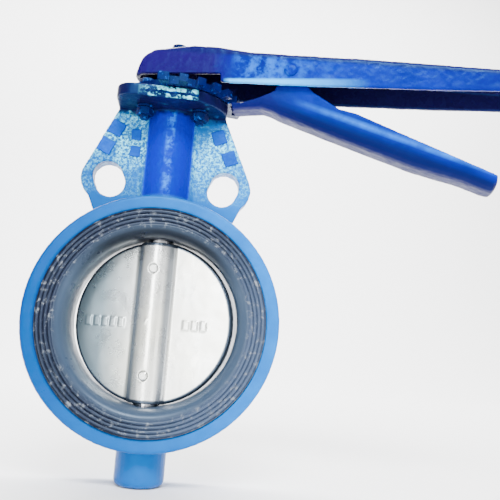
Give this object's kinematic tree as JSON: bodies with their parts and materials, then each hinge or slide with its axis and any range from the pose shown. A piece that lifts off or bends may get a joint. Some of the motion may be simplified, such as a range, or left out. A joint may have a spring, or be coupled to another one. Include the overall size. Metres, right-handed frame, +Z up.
{
  "type": "butterfly valve",
  "caption": "Wafer butterfly valve with a rubber seat, stainless disc on a through stem, slotted lugs, and a latching squeeze lever over a notch plate.",
  "frame": {"origin": "centre of the disc, where the bore axis meets the stem axis", "axes": "+Y along the pipe bore, away from the side the lever swings to; +Z up the stem to the lever; +X is where the lever points with the disc closed"},
  "size_m": [0.3125, 0.1127, 0.2883],
  "materials": {
    "body_paint": "glossy azure enamel over rough cast iron",
    "plate_paint": "glossy dark blue enamel on steel plate",
    "lever_paint": "glossy dark blue enamel",
    "seat_rubber": "moulded black rubber, slight sheen",
    "seal_rubber": "black rubber",
    "disc_stainless": "satin cast and ground stainless steel",
    "stem_steel": "ground stainless steel",
    "pin_steel": "ground steel",
    "spring_steel": "dark spring steel",
    "fastener_steel": "zinc plated steel, blue overspray",
    "bush_polymer": "filled bearing polymer"
  },
  "bodies": {
    "valve_body": {"body_casting": "body_paint", "seat_liner": "seat_rubber", "lower_stem_bush": "bush_polymer", "middle_stem_bush": "bush_polymer", "upper_stem_bush": "bush_polymer", "stem_o_ring_lower": "seal_rubber", "stem_o_ring_upper": "seal_rubber", "stem_retaining_ring": "spring_steel", "notch_plate": "plate_paint", "plate_bolt_1": "fastener_steel", "plate_nut_1": "fastener_steel", "plate_washer_1": "fastener_steel", "plate_bolt_2": "fastener_steel", "plate_nut_2": "fastener_steel", "plate_washer_2": "fastener_steel", "plate_bolt_3": "fastener_steel", "plate_nut_3": "fastener_steel", "plate_washer_3": "fastener_steel", "plate_bolt_4": "fastener_steel", "plate_nut_4": "fastener_steel", "plate_washer_4": "fastener_steel"},
    "lever_and_disc": {"stem": "stem_steel", "disc": "disc_stainless", "taper_pin_upper": "pin_steel", "taper_pin_lower": "pin_steel", "lever": "lever_paint", "lever_screw": "fastener_steel", "lever_washer": "fastener_steel", "latch_pivot_pin": "pin_steel", "latch_pin_clip": "spring_steel", "latch_spring": "spring_steel"},
    "latch": {"latch": "lever_paint"}
  },
  "joints": [
    {"name": "stem_turn", "type": "hinge", "parent": "valve_body", "child": "lever_and_disc", "pos_m": [0, 0, 0], "axis": [0, 0, -1], "range_deg": [-15, 75]},
    {"name": "latch_squeeze", "type": "hinge", "parent": "lever_and_disc", "child": "latch", "pos_m": [0.07679, -0.02058, 0.1643], "axis": [-0.2588, -0.9659, 0], "range_deg": [0, 14], "stiffness_Nm_per_rad": 1.5, "springref_deg": -20.05, "deforming": ["latch_spring"]}
  ]
}
